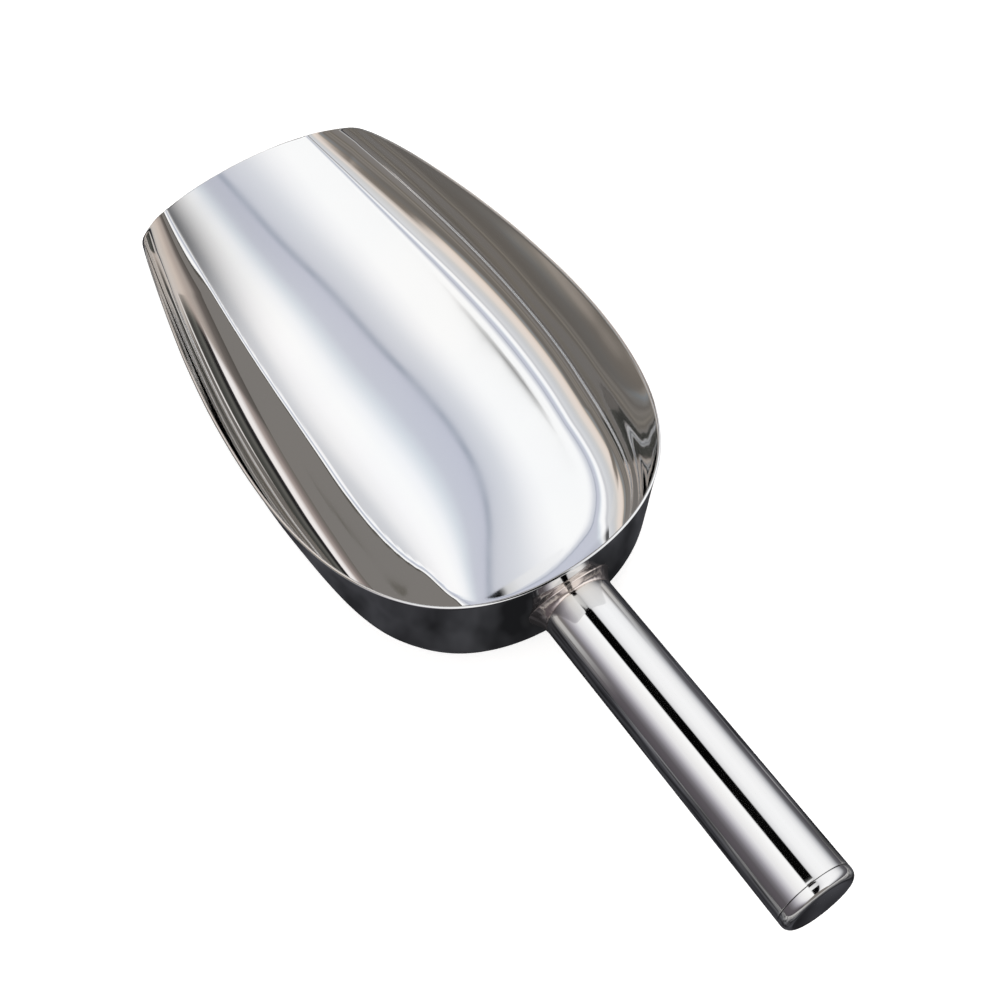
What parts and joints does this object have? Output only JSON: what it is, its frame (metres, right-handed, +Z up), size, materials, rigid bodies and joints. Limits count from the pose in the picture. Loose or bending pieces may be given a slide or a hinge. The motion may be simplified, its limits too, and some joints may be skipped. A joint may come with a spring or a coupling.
{
  "type": "ice scoop",
  "caption": "Stainless-steel scoop: a deep-drawn open-fronted bowl with a flat bottom, and a capped round tube handle welded to its back wall.",
  "frame": {"origin": "centre of the bowl's length, on the underside of its flat bottom, on the plane of symmetry", "axes": "+Y from the handle towards the pouring lip, +Z up, +X to the right; the scoop is symmetric about X = 0"},
  "size_m": [0.1324, 0.3552, 0.0771],
  "materials": {
    "bowl_steel": "mirror-polished stainless steel",
    "tube_steel": "mirror-polished stainless steel tube",
    "weld_steel": "ground and polished weld with a faint straw heat tint",
    "cap_steel": "polished stainless steel pressing"
  },
  "bodies": {
    "root": {"bowl": "bowl_steel", "handle_tube": "tube_steel", "handle_weld": "weld_steel", "end_cap": "cap_steel"}
  },
  "joints": []
}
